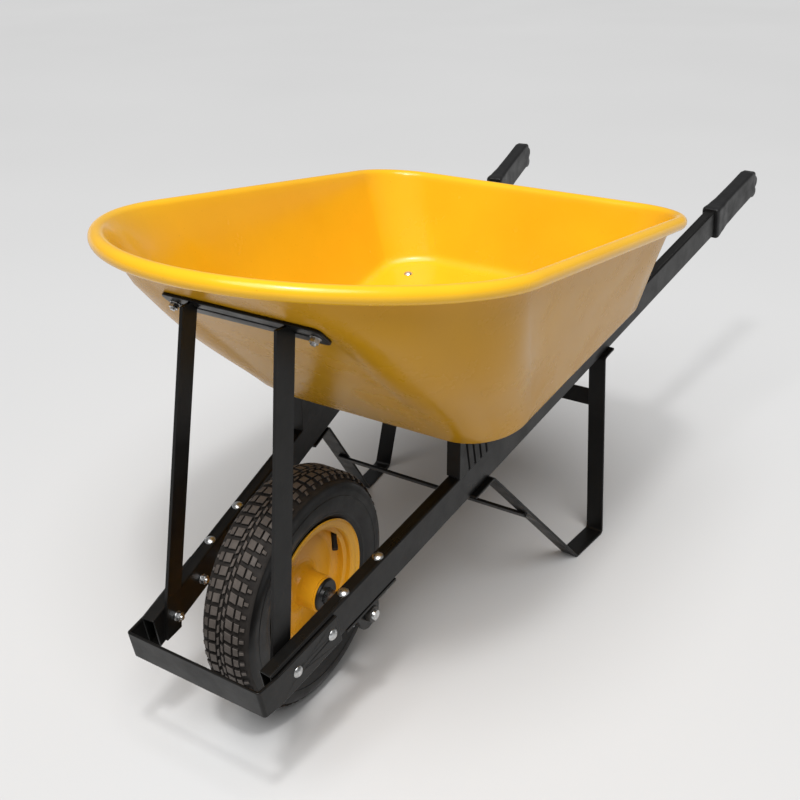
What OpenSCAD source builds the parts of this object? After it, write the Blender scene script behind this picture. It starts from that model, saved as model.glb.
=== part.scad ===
// Builder's wheelbarrow: a pressed steel tray on two rectangular steel tubes,
// with a flat-bar nose guard and struts, bent strip legs and a pneumatic wheel.
// X runs across, the nose points to -Y, Z is up and the ground is at Z = 0.
// Lengths are in millimetres and angles in degrees.

/* [Wheel] */
// Outer diameter of the tyre
tyre_d = 380; // [350:5:420]
// Width of the tyre
tyre_w = 92; // [84:1:104]
// Radius of the tyre's rounded shoulders
tyre_shoulder = 28; // [22:1:34]
// Thickness of the tyre's tread
tread_t = 13; // [9:1:16]
// Diameter over the rim's flanges
rim_d = 234; // [224:2:244]
// Width over the rim's flanges
rim_w = 76; // [70:1:82]
// Diameter of the rim's bead seat
seat_d = 205; // [200:1:210]
// Depth of the drop between bead seat and rim barrel
rim_drop = 6; // [4:0.5:8]
// Sheet thickness of the rim
rim_t = 2; // [1.5:0.1:2.5]
// Length of the hub tube
hub_l = 104; // [96:2:112]
// Outer diameter of the hub tube
hub_d = 54; // [50:1:58]
// Outer diameter of the ball bearings
bearing_d = 40; // [38:1:42]
// Width of one ball bearing
bearing_w = 12; // [9:1:14]
// Thickness of the hub's dust caps
cap_t = 5; // [3:0.5:7]
// Diameter of the valve stem
valve_d = 9; // [7:0.5:11]

/* [Axle] */
// Diameter of the axle
axle_d = 16; // [12:1:20]
// Radial running clearance between axle and bearings
axle_clear = 0.05; // [0.02:0.01:0.1]
// Height of the axle nuts
axle_nut_h = 9; // [8:0.5:12]
// Outer diameter of the axle spacers
spacer_d = 24; // [21:1:26]
// Distance along the rails from their front ends to the axle
axle_s = 211; // [190:1:240]
// Distance from the rails' top faces down to the axle
axle_drop = 78.6; // [74:0.2:90]

/* [Rails] */
// Length of a rail
rail_l = 1640; // [1500:10:1760]
// Width of a rail's section
rail_w = 22; // [20:1:26]
// Height of a rail's section
rail_h = 55.5; // [46:0.5:60]
// Wall thickness of a rail
rail_wall = 2; // [1.5:0.1:3]
// Distance from the centre line to a rail's centre at its front end
nose_x = 107.5; // [104:0.5:120]
// Angle that each rail opens outward
toe = 6.1; // [5:0.1:7]
// Angle that each rail climbs
rise = 11.5; // [10.5:0.1:12.5]

/* [Grips] */
// Length of a grip
grip_l = 232; // [190:2:260]
// Length of rail inside a grip
grip_in = 197; // [150:1:210]
// Wall thickness of a grip
grip_wall = 4; // [3:0.5:6]

/* [Nose guard and struts] */
// Thickness of the flat bars
bar_t = 5; // [4:0.5:6]
// Distance from the axle forward to the guard's foremost edge
guard_reach = 252.5; // [240:0.5:264]
// Depth of the guard's lower edge below its rail tops at the nose
guard_low = 56; // [50:0.5:60]
// Width of the guard's bar, across its face
guard_h = 51; // [44:0.5:56]
// Distance along a rail to the end of the guard's arm
guard_end_s = 136; // [130:1:146]
// Width of the struts
strut_w = 35; // [30:1:40]
// Backward lean of the struts
strut_lean = 8.9; // [8:0.1:10]
// Distance along a rail to the foot of its strut
strut_s = 31; // [28:1:40]
// Distance from the centre line to a strut's middle at its top
strut_top_x = 81.4; // [78:0.2:92]
// Height of the cross bar's middle above the axle
cross_z = 482.5; // [475:0.5:495]
// Distance from the axle forward to the cross bar's middle
cross_reach = 86.1; // [80:0.1:92]
// Width of the cross bar
cross_w = 46; // [40:1:50]
// Half length of the cross bar
cross_half = 134; // [126:1:137]
// Distance from the centre line to each bolt of the cross bar
cross_bolt_x = 118.5; // [114:0.5:121]

/* [Legs] */
// Width of the leg strip
leg_w = 34; // [28:1:38]
// Distance along the ground from the nose to the front of the foot
foot_front = 780; // [760:5:800]
// Distance along the ground from the nose to the back of the foot
foot_back = 880; // [860:5:900]
// Distance that the foot stands outside its rail
foot_out = 45; // [35:1:55]
// Distance that the leg's tabs sit outside the rail's middle
tab_out = 3; // [0:0.5:5]
// Length of the lower brace from the centre line
low_brace_half = 198; // [192:1:204]
// Height of the lower brace
low_brace_z = 155; // [140:0.5:168]
// Length of the upper brace from the centre line
high_brace_half = 227; // [215:1:235]
// Height of the upper brace
high_brace_z = 268; // [258:0.5:276]

/* [Tray] */
// Thickness of the tray's sheet
sheet_t = 1.5; // [1.2:0.1:2.5]
// Width of the tray over the middle of its rim
rim_half = 330; // [320:1:345]
// Distance from the axle forward to the rim's middle at the nose
tray_nose = 216; // [212:1:222]
// Distance from the axle back to the rim's middle at the rear
tray_rear = 809; // [800:1:830]
// Radius of the rim's nose
nose_r = 330; // [324:1:336]
// Flattening of the nose's curve, half way round to the sides
nose_pinch = 7; // [0:1:12]
// Radius of the rim's rear corners
rear_r = 105; // [90:1:120]
// Height of the rim's middle above the axle, over the reference point
rim_z = 507.7; // [500:0.5:516]
// Slope of the rim, down to the rear
rim_slope = 0.16; // [0.14:0.005:0.18]
// Radius of the rolled bead
bead_r = 12; // [8:0.5:14]
// Height of the tray's floor above the axle, over the reference point
floor_z = 219.2; // [216:0.2:224]
// Slope of the floor, up to the rear
floor_slope = 0.116; // [0.11:0.002:0.122]
// Half width of the floor at its front
floor_front_half = 244.5; // [236:0.5:252]
// Half width of the floor at its rear
floor_rear_half = 267.4; // [258:0.2:276]
// Distance from the axle back to the rear edge of the floor
floor_rear = 763; // [755:1:775]
// Radius of the bend between floor and walls
floor_bend = 25; // [18:1:32]
// Bulge of the wall at the front corners
wall_bulge = 17; // [8:1:20]

/* [Fasteners] */
// Diameter of the frame bolts
bolt_d = 8; // [6:0.5:9]
// Radial clearance of a bolt in its hole
bolt_clear = 0.3; // [0.2:0.05:0.6]
// Height of a nut
nut_h = 6.5; // [5:0.5:8]
// Thickness of a washer
washer_t = 1.6; // [1:0.1:2]

/* [Hidden] */

$fn = 48;

// Gap left between two pieces that only touch
touch = 0.05;
// Gap of a brace from the legs it is welded to
weld_gap = 0.15;
// Gap between pieces that turn against each other
running_gap = 0.3;

axle_z = tyre_d / 2;
back_of_axle = axle_s * cos(rise) + axle_drop * sin(rise);
nose_y = -cos(toe) * back_of_axle;
nose_z = axle_z - axle_s * sin(rise) + axle_drop * cos(rise);
ear_x = nose_x + sin(toe) * back_of_axle;

// Point of a rail's upright plane, from outward and along distances
function toed(out, along) = [
    nose_x + out * cos(toe) + along * sin(toe),
    nose_y - out * sin(toe) + along * cos(toe),
];
// Height of a rail face at a distance along the ground, h above the rail's top
function rail_height(along, h) = nose_z + along * tan(rise) + h / cos(rise);

// End of the grips along the rails, and the round lobes on it: [back, height, radius]
grip_end = rail_l - grip_in + grip_l - 14;
grip_half = rail_w / 2 + grip_wall;
lobe_half = grip_half - 4;
LOBES = [[9, -12, 11], [4, -rail_h / 2 - 1, 16], [7, 4 - rail_h, 13]];
// Place of the axle along Y that centres the whole object over the origin
object_back = max([
    for (l = LOBES) toed(-lobe_half, (grip_end - l[0]) * cos(rise) - l[1] * sin(rise) + l[2])[1]
]);
axle_y = (guard_reach - object_back) / 2;

// ---- shared shapes ----------------------------------------------------

function unit(v) = v / norm(v);
function mix(a, b, t) = a * (1 - t) + b * t;
function clamp(v) = min(1, max(0, v));
function smooth(v) = let (t = clamp(v)) t * t * (3 - 2 * t);
function flip(list) = [for (i = [len(list) - 1 : -1 : 0]) list[i]];

// Path with each inner corner rounded to radius r, in steps arcs
function round_path(pts, r, steps = 6) = [
    for (i = [0 : len(pts) - 1])
        if (i == 0 || i == len(pts) - 1) pts[i]
        else let (
            a = unit(pts[i - 1] - pts[i]),
            b = unit(pts[i + 1] - pts[i]),
            half = acos(clamp_cos(a * b)) / 2,
            back = r / tan(half),
            centre = pts[i] + unit(a + b) * (r / sin(half)),
            from = pts[i] + a * back - centre,
            to = pts[i] + b * back - centre,
            turn = 180 - 2 * half
        )
        for (k = [0 : steps])
            centre + (from * sin(turn * (1 - k / steps)) + to * sin(turn * k / steps)) / sin(turn)
];
function clamp_cos(v) = min(0.999999, max(-0.999999, v));

// Unit direction of a path from point i to the next one
function step(pts, i) = unit(pts[i + 1] - pts[i]);
// Unit direction of a path at point i, halfway between its two steps
function heading(pts, i) = let (last = len(pts) - 1)
    unit(step(pts, min(i, last - 1)) + step(pts, max(i - 1, 0)));
// Factor that keeps a band's thickness through a corner
function miter(pts, i) = 1 / max(0.5, step(pts, min(i, len(pts) - 2)) * heading(pts, i));
// Path moved sideways by d, to its left for a positive d
function beside(pts, d) = [
    for (i = [0 : len(pts) - 1])
        let (t = heading(pts, i)) pts[i] + [-t[1], t[0]] * d * miter(pts, i)
];
// Closed outline of a strip of thickness t along a flat path
function band(pts, t) = concat(beside(pts, t / 2), flip(beside(pts, -t / 2)));

// Outline of a rectangle with round corners, centred on the origin
function round_rect(w, h, r, steps = 4) = [
    for (q = [0 : 3], k = [0 : steps])
        let (a = 90 * (q + k / steps), sx = q == 0 || q == 3 ? 1 : -1, sy = q < 2 ? 1 : -1)
        [sx * (w / 2 - r) + r * cos(a), sy * (h / 2 - r) + r * sin(a)]
];

function middle(pts) = [for (p = pts) 1 / len(pts)] * pts;

// Closed skin over rings of points that all have the same count, with fanned ends
module loft(rings) {
    n = len(rings[0]);
    m = len(rings);
    low = n * m;
    polyhedron(
        points = concat([for (ring = rings, p = ring) p], [middle(rings[0]), middle(rings[m - 1])]),
        faces = concat(
            [for (i = [0 : n - 1]) [i, (i + 1) % n, low]],
            [
                for (k = [0 : m - 2], i = [0 : n - 1], half = [0, 1])
                    let (j = (i + 1) % n, a = k * n, b = (k + 1) * n)
                    half == 0 ? [a + i, b + i, b + j] : [a + i, b + j, a + j]
            ],
            [for (i = [0 : n - 1]) [low - n + (i + 1) % n, low - n + i, low + 1]]
        ),
        convexity = 10
    );
}

// Colour of a piece, and its place over the object's origin
module piece(colour) {
    color(colour) translate([0, axle_y, 0]) children();
}
// Left side for side = 1, its mirror image for side = -1
module on_side(side) {
    mirror([side < 0 ? 1 : 0, 0, 0]) children();
}
// Upright plane of a rail: X outward, Y along the ground, Z up
module in_toed(side) {
    on_side(side) translate([nose_x, nose_y, 0]) rotate([0, 0, -toe]) children();
}
// Frame of a rail: X outward, Y along the rail, Z up from its top face
module in_rail(side) {
    in_toed(side) translate([0, 0, nose_z]) rotate([rise, 0, 0]) children();
}
// Frame of the axle: Z along the axle
module on_axle() {
    translate([0, 0, axle_z]) rotate([0, 90, 0]) children();
}
// Revolved outline about the axle, from points [along the axle, radius]
module turned(points) {
    on_axle() rotate_extrude($fn = 96) polygon([for (p = points) [p[1], p[0]]]);
}
// Prism across X from an outline in the YZ plane
module across(points, w) {
    rotate([90, 0, 90]) linear_extrude(w, center = true) polygon(points);
}

// ---- fasteners ----------------------------------------------------------

bolt_r = bolt_d / 2;
hole_r = bolt_r + bolt_clear;
head_r = bolt_d * 1.12;
head_h = bolt_d * 0.55;
nut_flats = bolt_d * 1.62;
washer_r = bolt_d * 1.0;
bolt_end = nut_h + 3;

// Domed head on Z = 0, above it
module dome_head() {
    ball_r = (head_r * head_r + head_h * head_h) / (2 * head_h);
    intersection() {
        translate([0, 0, head_h - ball_r]) sphere(ball_r);
        cylinder(r = head_r + 1, h = head_h + 1);
    }
}
// Bolt with its head on Z = 0 and its shank down through grip millimetres
module dome_bolt(grip) {
    dome_head();
    reach = grip + washer_t + bolt_end;
    translate([0, 0, -reach]) cylinder(r = bolt_r, h = reach);
}
// Washer below Z = 0
module washer() {
    translate([0, 0, -washer_t]) difference() {
        cylinder(r = washer_r, h = washer_t);
        translate([0, 0, -1]) cylinder(r = hole_r, h = washer_t + 2);
    }
}
// Nut below a washer that lies below Z = 0
module nut() {
    translate([0, 0, -washer_t - nut_h]) difference() {
        cylinder(d = nut_flats / cos(30), h = nut_h, $fn = 6);
        translate([0, 0, -1]) cylinder(r = bolt_r + touch, h = nut_h + 2);
    }
}
// Hole about Z, above and below
module hole(depth) {
    translate([0, 0, -depth]) cylinder(r = hole_r, h = 2 * depth);
}

guard_bolt_s = [43.5, 120];
guard_bolt_h = -31;
bracket_bolt_s = [171.2, 254.2];
bracket_plate = [152, 272];
plate_t = 5;
tray_bolt_s = [498.3, 944];
SIDES = [1, -1];

// Places of the guard's bolts, with Z outward from the guard's arm
module at_guard_bolts() {
    for (side = SIDES, s = guard_bolt_s)
        in_rail(side) translate([arm_out + bar_t, s, guard_bolt_h]) rotate([0, 90, 0]) children();
}
// Inner ends of the guard's bolts: on the strut at the front, on the rail behind
module at_guard_nuts() {
    for (side = SIDES, i = [0, 1])
        in_rail(side)
            translate([-rail_w / 2 - (i == 0 ? bar_t : 0), guard_bolt_s[i], guard_bolt_h])
            rotate([0, 90, 0]) children();
}
module at_bracket_bolts(h = 0) {
    for (side = SIDES, s = bracket_bolt_s) in_rail(side) translate([0, s, h]) children();
}
// Places on the cross bar's outer face, with Z into the tray
module at_cross_bolts(depth = 0) {
    for (side = SIDES)
        in_cross_bar() translate([side * cross_bolt_x, 0, depth]) children();
}
// Backward lean of the tray's front wall and of the cross bar on it
cross_lean = 45;
// Middle of the cross bar's outer face, as [Y, Z]
cross_mid = [-cross_reach, axle_z + cross_z];
// Frame on the cross bar's outer face: X across, Y down the bar, Z into the tray
module in_cross_bar() {
    translate([0, cross_mid[0], cross_mid[1]]) rotate([-cross_lean, 0, 0]) children();
}
module at_tray_bolts(side, h = 0) {
    for (s = tray_bolt_s) in_rail(side) translate([0, s, h]) children();
}

// ---- rails and grips ------------------------------------------------------

module rail(side) {
    piece("#1c1b1a") difference() {
        in_rail(side) translate([0, 0, -rail_h / 2]) rotate([-90, 0, 0])
            linear_extrude(rail_l) difference() {
                polygon(round_rect(rail_w, rail_h, 3));
                square([rail_w - 2 * rail_wall, rail_h - 2 * rail_wall], center = true);
            }
        for (s = guard_bolt_s)
            in_rail(side) translate([0, s, guard_bolt_h]) rotate([0, 90, 0]) hole(rail_w);
        for (s = bracket_bolt_s)
            in_rail(side) translate([0, s, 0]) hole(2 * rail_h);
        at_tray_bolts(side) hole(2 * rail_h);
    }
}

// Ring of a grip's outer skin: place s, half width, top and bottom heights
function grip_ring(s, half, top, bottom, r) = [
    for (p = flip(round_rect(2 * half, top - bottom, r, 5)))
        [p[0], s, p[1] + (top + bottom) / 2]
];

module grip(side) {
    start = rail_l - grip_in;
    finish = grip_end;
    half = grip_half;
    low = -rail_h - grip_wall;
    piece("#161616") in_rail(side) difference() {
        union() {
            loft([
                grip_ring(start, half + 2.5, 3.5, low - 5, 5),
                grip_ring(start + 6, half + 4, 5, low - 7, 7),
                grip_ring(start + 30, half + 2.5, 3, low - 5, 7),
                grip_ring(start + 62, half, 2.5, low - 3, 6),
                grip_ring(start + 130, half - 0.5, 2.5, low - 1.5, 6),
                grip_ring(finish - 20, half, 2.5, low, 6),
                grip_ring(finish - 8, half, -1, low, 7),
                grip_ring(finish, half - 3, -5, low + 3, 6),
            ]);
            for (l = LOBES) grip_lobe(finish - l[0], l[1], l[2]);
        }
        translate([-rail_w / 2 - touch, start - 1, -rail_h - touch])
            cube([rail_w + 2 * touch, grip_in + 1 + touch, rail_h + 2 * touch]);
    }
}
// Round lobe across a grip's end
module grip_lobe(s, h, r) {
    translate([0, s, h]) rotate([0, 90, 0]) {
        cylinder(r = r, h = 2 * lobe_half, center = true);
        cylinder(r = r - 3, h = 2 * lobe_half + 6, center = true);
    }
}

// ---- nose guard, struts and cross bar --------------------------------------

// Inner face of the guard's arm, outward from the rail's middle
arm_out = rail_w / 2 + touch;
guard_bottom_z = nose_z - guard_low;
// Height at place y of a line on the guard's arm, h above the rail's top
function arm_z(y, h) = rail_height((y - nose_y) / cos(toe), h);
function arm_y(z, h) = nose_y + (z - nose_z - h / cos(rise)) / tan(rise) * cos(toe);
arm_top = -6;
arm_bottom = -rail_h - 1.5;

// Slope of the plane that both rails lie in, across which the guard's bar stands
guard_slope = atan(tan(rise) / cos(toe));
guard_front_y = guard_h * sin(guard_slope) - guard_reach;
guard_bend = 3.5;

// Bar bent round the nose and standing square to the rails: the half on one side
module guard_band(path, side) {
    lean = -tan(guard_slope);
    intersection() {
        on_side(side) multmatrix([
            [1, 0, lean * tan(toe), -lean * tan(toe) * guard_bottom_z],
            [0, 1, lean, -lean * guard_bottom_z],
            [0, 0, 1, 0],
        ]) translate([0, 0, nose_z - 150]) linear_extrude(300) polygon(band(path, bar_t));
        on_side(side) translate([-touch, -500, 0]) cube([500, 1000, 1000]);
    }
}

module nose_guard() {
    mid = arm_out + bar_t / 2;
    front_mid = guard_front_y + bar_t / 2;
    corner_along = (front_mid - nose_y + mid * sin(toe)) / cos(toe);
    corner = toed(mid, corner_along);
    arm = toed(mid, guard_end_s * cos(rise) + 40);
    path = round_path(
        [arm, corner, [-corner[0], corner[1]], [-arm[0], arm[1]]], guard_bend, 8);
    // The bar is cut to this side outline, so its arms climb with the rails
    end_s = guard_end_s * cos(rise);
    end_low = toed(mid, end_s - arm_bottom * sin(rise))[1];
    end_top = toed(mid, end_s - arm_top * sin(rise))[1];
    front_top = guard_bottom_z + guard_h * cos(guard_slope);
    side_outline = [
        [guard_front_y - 30, guard_bottom_z],
        [arm_y(guard_bottom_z, arm_bottom), guard_bottom_z],
        [end_low, arm_z(end_low, arm_bottom)],
        [end_top, arm_z(end_top, arm_top)],
        [nose_y + 9, arm_z(nose_y + 9, arm_top)],
        [guard_front_y - 4, front_top],
        [guard_front_y - 30, front_top],
    ];
    piece("#141414") difference() {
        intersection() {
            union() for (side = SIDES) guard_band(path, side);
            across(side_outline, 4 * nose_x);
        }
        at_guard_bolts() hole(3 * bar_t);
    }
}

// Y + Z of the plane of the cross bar's outer face, and of the tray's wall on it
cross_plane = cross_mid[0] + cross_mid[1];
wall_plane = cross_plane + (bar_t + touch) / cos(cross_lean);

module strut(side) {
    foot_h = -rail_h + 12;
    foot = [strut_s * cos(rise) - foot_h * sin(rise), rail_height(strut_s * cos(rise), foot_h)];
    knee_z = rail_height(strut_s, 12);
    knee = foot + [tan(strut_lean), 1] * (knee_z - foot[1]);
    top_z = cross_mid[1] + cross_w;
    top = foot + [tan(strut_lean), 1] * (top_z - foot[1]);
    half = strut_w / 2 / cos(strut_lean);
    inner = rail_w / 2 + bar_t / 2;
    seat_z = cross_mid[1] - 8;
    seat_along = foot[0] + tan(strut_lean) * (seat_z - foot[1]);
    seat_out = (strut_top_x - toed(0, seat_along)[0]) / cos(toe);
    tilt = atan((-inner - seat_out) / (seat_z - knee_z));
    piece("#181817") difference() {
        in_toed(side) {
            translate([-inner, 0, 0])
                across([
                    [foot[0] - half, foot[1] - 10], [foot[0] + half, foot[1] - 10],
                    [knee[0] + half, knee[1]], [knee[0] - half, knee[1]],
                ], bar_t);
            translate([-inner, 0, knee_z]) rotate([0, -tilt, 0]) translate([0, 0, -knee_z])
                across([
                    [knee[0] - half, knee[1]], [knee[0] + half, knee[1]],
                    [top[0] + half, top[1]], [top[0] - half, top[1]],
                ], bar_t);
        }
        at_guard_bolts() hole(2 * rail_w);
        // The top is cut to lie against the cross bar's outer face
        in_cross_bar() translate([-cross_half, -200, 0]) cube([2 * cross_half, 400, 200]);
        translate([-cross_half, -cross_reach - 200, cross_mid[1] + cross_w / 2 * sin(cross_lean) - 3])
            cube([2 * cross_half, 400, 200]);
    }
}

module cross_bar() {
    r = 12;
    piece("#181817") difference() {
        in_cross_bar() linear_extrude(bar_t) polygon(round_rect(2 * cross_half, cross_w, r, 6));
        at_cross_bolts() hole(3 * bar_t);
    }
}

// ---- axle brackets -----------------------------------------------------------

ear_t = 6;
ear_r = 27;
ear_root = 32;
// Outline of the ear about the axle: round below, and flared up to its weld under the plate
ear_top = axle_drop - rail_h - 1;
ear_outline = concat(
    [[ear_root, ear_top], [-ear_root, ear_top], [-ear_root + 2, ear_top - 8], [-ear_r - 1, ear_top - 20]],
    [for (k = [0 : 24]) let (a = 180 + 180 * k / 24) ear_r * [cos(a), sin(a)]],
    [[ear_r + 1, ear_top - 20], [ear_root - 2, ear_top - 8]]
);

module axle_bracket(side) {
    piece("#151514") difference() {
        union() {
            in_rail(side)
                translate([-12, bracket_plate[0], -rail_h - plate_t])
                cube([24, bracket_plate[1] - bracket_plate[0], plate_t]);
            on_side(side) translate([ear_x, 0, axle_z]) rotate([rise, 0, 0])
                across(ear_outline, ear_t);
        }
        at_bracket_bolts() hole(2 * rail_h);
        on_axle() cylinder(r = axle_d / 2 + touch, h = 4 * ear_x, center = true);
    }
}

// ---- risers ---------------------------------------------------------------------

riser_w = 26;
riser_y = [222, 740];
groove_s = 484;
groove_pitch = 17;

// Everything above the underside of the tray's floor
module above_floor() {
    translate([0, floor_ref, axle_z + floor_z - touch]) rotate([atan(floor_slope), 0, 0])
        translate([-500, -900, 0]) cube([1000, 2000, 400]);
}

module riser(side) {
    front = (riser_y[0] - nose_y) / cos(toe);
    back = (riser_y[1] - nose_y) / cos(toe);
    piece("#1a1a19") difference() {
        in_toed(side) across([
            [front, rail_height(front, 0)], [back, rail_height(back, 0)],
            [back, rail_height(back, 60)], [front, rail_height(front, 110)],
        ], riser_w);
        above_floor();
        for (i = [0 : 3])
            in_rail(side) translate([riser_w / 2 - 4, groove_s + i * groove_pitch - 2.5, -10])
                cube([10, 5, 200]);
        at_tray_bolts(side) hole(4 * rail_h);
    }
}

// ---- legs and braces ------------------------------------------------------------

tab_front = 486;
tab_knee = 540;
tab_back_knee = 921.5;
tab_back = 956;
half_leg_t = bar_t / 2;
// Heights of a tab's two faces, from the rail's top
tab_top = -rail_h - touch;
tab_under = tab_top - bar_t - touch;

// Middle of a leg's strip, as [outward, along, up], bent in the rail's plane
function tab_point(along) = [along, rail_height(along, tab_top - half_leg_t)];
leg_path = round_path([
    tab_point(tab_front), tab_point(tab_knee), [foot_front, half_leg_t],
    [foot_back, half_leg_t], tab_point(tab_back_knee), tab_point(tab_back),
], 8, 6);
// Distance outside the rail at a point of the leg's path: the legs splay downward
function leg_out(p) = tab_out + (foot_out - tab_out)
    * clamp((tab_point(p[0])[1] - p[1]) / (tab_point(p[0])[1] - half_leg_t));

// Four corners of the strip's section, from its upper and lower edge points
function leg_ring(upper, out, lower) = [
    [out + leg_w / 2, lower[0], lower[1]], [out - leg_w / 2, lower[0], lower[1]],
    [out - leg_w / 2, upper[0], upper[1]], [out + leg_w / 2, upper[0], upper[1]],
];

module leg(side) {
    upper = beside(leg_path, half_leg_t);
    lower = beside(leg_path, -half_leg_t);
    piece("#171716") difference() {
        in_toed(side)
            loft([
                for (i = [0 : len(leg_path) - 1])
                    leg_ring(upper[i], leg_out(leg_path[i]), lower[i])
            ]);
        at_tray_bolts(side) hole(4 * rail_h);
    }
}

// Middle of the leg's strip on its slanted run between two path points, at height z
function on_run(a, b, z) = let (t = (z - a[1]) / (b[1] - a[1])) mix(a, b, t);
// World point of the leg at path point p, moved w across the strip and n off it
function leg_world(p, w, n) = let (
    xy = toed(leg_out(p) + w, p[0] + n[0])
) [xy[0], xy[1], p[1] + n[1]];

// Flat bar across the legs: its face touches the leg at point seat, leaning along run
module brace(seat, run, half, w, face) {
    lean = atan2(run[2], run[1]);
    piece("#171716")
        translate([0, seat[1], seat[2]]) rotate([lean, 0, 0])
        translate([-half, -w / 2, face > 0 ? 0 : -bar_t]) cube([2 * half, w, bar_t]);
}

module lower_brace() {
    a = tab_point(tab_knee);
    b = [foot_front, half_leg_t];
    dir = unit(b - a);
    off = [dir[1], -dir[0]] * (half_leg_t + weld_gap);
    p = on_run(a, b, low_brace_z);
    p2 = on_run(a, b, low_brace_z - 20);
    w = (low_brace_half - leg_world(p, 0, off)[0]) / cos(toe);
    seat = leg_world(p, w, off);
    brace(seat, leg_world(p2, 0, off) - leg_world(p, 0, off), low_brace_half, 20, -1);
}

module upper_brace() {
    a = [foot_back, half_leg_t];
    b = tab_point(tab_back_knee);
    dir = unit(b - a);
    off = [dir[1], -dir[0]] * (half_leg_t + weld_gap);
    p = on_run(a, b, high_brace_z);
    p2 = on_run(a, b, high_brace_z + 20);
    seat = leg_world(p, -leg_w / 2, off);
    brace(seat, leg_world(p2, 0, off) - leg_world(p, 0, off), high_brace_half, 33, -1);
}

// ---- tray ------------------------------------------------------------------------

floor_ref = 400;
rim_ref = 285;
function floor_height(y) = axle_z + floor_z + floor_slope * (y - floor_ref);
function rim_height(y) = axle_z + rim_z - rim_slope * (y - rim_ref);
// Front edge of the floor, where the flat front wall meets it
floor_front = (wall_plane - axle_z - floor_z + floor_slope * floor_ref) / (1 + floor_slope);
floor_flat = 149;
floor_r = floor_front_half - floor_flat;
floor_corner = [90, 60];

nose_steps = 6;
curve_steps = 15;
side_steps = 4;
corner_steps = 8;
rear_steps = 3;
nose_turn = 24;
side_turn = 90.8;

// Middle of the rim at angle a round its nose
function nose_point(a) = let (r = nose_r - nose_pinch * pow(sin(2 * a), 2))
    [r * sin(a), nose_r - tray_nose - r * cos(a)];
// Half of the rim's middle line, from the nose round to the rear
rim_line = let (sy = tray_rear - rear_r) concat(
    [for (i = [0 : nose_steps]) nose_point(nose_turn * i / nose_steps)],
    [for (i = [1 : curve_steps]) nose_point(mix(nose_turn, side_turn, i / curve_steps))],
    [for (i = [1 : side_steps]) mix(nose_point(side_turn), [rim_half, sy], i / side_steps)],
    [for (i = [1 : corner_steps]) let (a = 90 * i / corner_steps)
        [rim_half - rear_r + rear_r * cos(a), sy + rear_r * sin(a)]],
    [for (i = [1 : rear_steps]) [(rim_half - rear_r) * (1 - i / rear_steps), tray_rear]]
);
// Half of the floor's edge, point for point with the rim's line
floor_line = let (
    side_y = floor_front + floor_r,
    c = [floor_rear_half - floor_corner[0], floor_rear - floor_corner[1]]
) concat(
    [for (i = [0 : nose_steps]) [floor_flat * i / nose_steps, floor_front]],
    [for (i = [1 : curve_steps]) let (a = 90 * i / curve_steps)
        [floor_flat + floor_r * sin(a), side_y - floor_r * cos(a)]],
    [for (i = [1 : side_steps]) mix([floor_front_half, side_y], [floor_rear_half, c[1]], i / side_steps)],
    [for (i = [1 : corner_steps]) let (a = 90 * i / corner_steps, t = i / corner_steps)
        c + mix([cos(a) * floor_corner[0], sin(a) * floor_corner[1]],
                [(1 - t) * floor_corner[0], t * floor_corner[1]], 0.5)],
    [for (i = [1 : rear_steps]) [c[0] * (1 - i / rear_steps), floor_rear]]
);
stations = len(rim_line);
// Outward direction of a half outline at point i
function outward(line, i) = let (
    last = len(line) - 1,
    a = i == 0 ? [-line[1][0], line[1][1]] : line[i - 1],
    b = i == last ? [-line[last - 1][0], line[last - 1][1]] : line[i + 1],
    t = unit(b - a)
) [t[1], -t[0], 0];

// Share of the flat front panel and of the corner bulge in the wall at station i
function panel_share(i) = 1 - smooth((i - nose_steps) / 8);
function bulge_share(i) = let (t = (i - nose_steps) / curve_steps)
    t <= 0 || t >= 1 ? 0 : sin(180 * t);
// How far the panel's correction has grown at t up the wall: full below its flare
flare = 0.8;
function panel_growth(t) = t <= flare ? t : flare * (1 - smooth((t - flare) / (1 - flare)));

// How far point p lies along off outside the plane Y + Z = plane, times share
function plane_gap(p, plane, off, share) =
    share <= 0 ? 0 : share * (p[1] + p[2] - plane) / (off[1] + off[2]);

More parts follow.
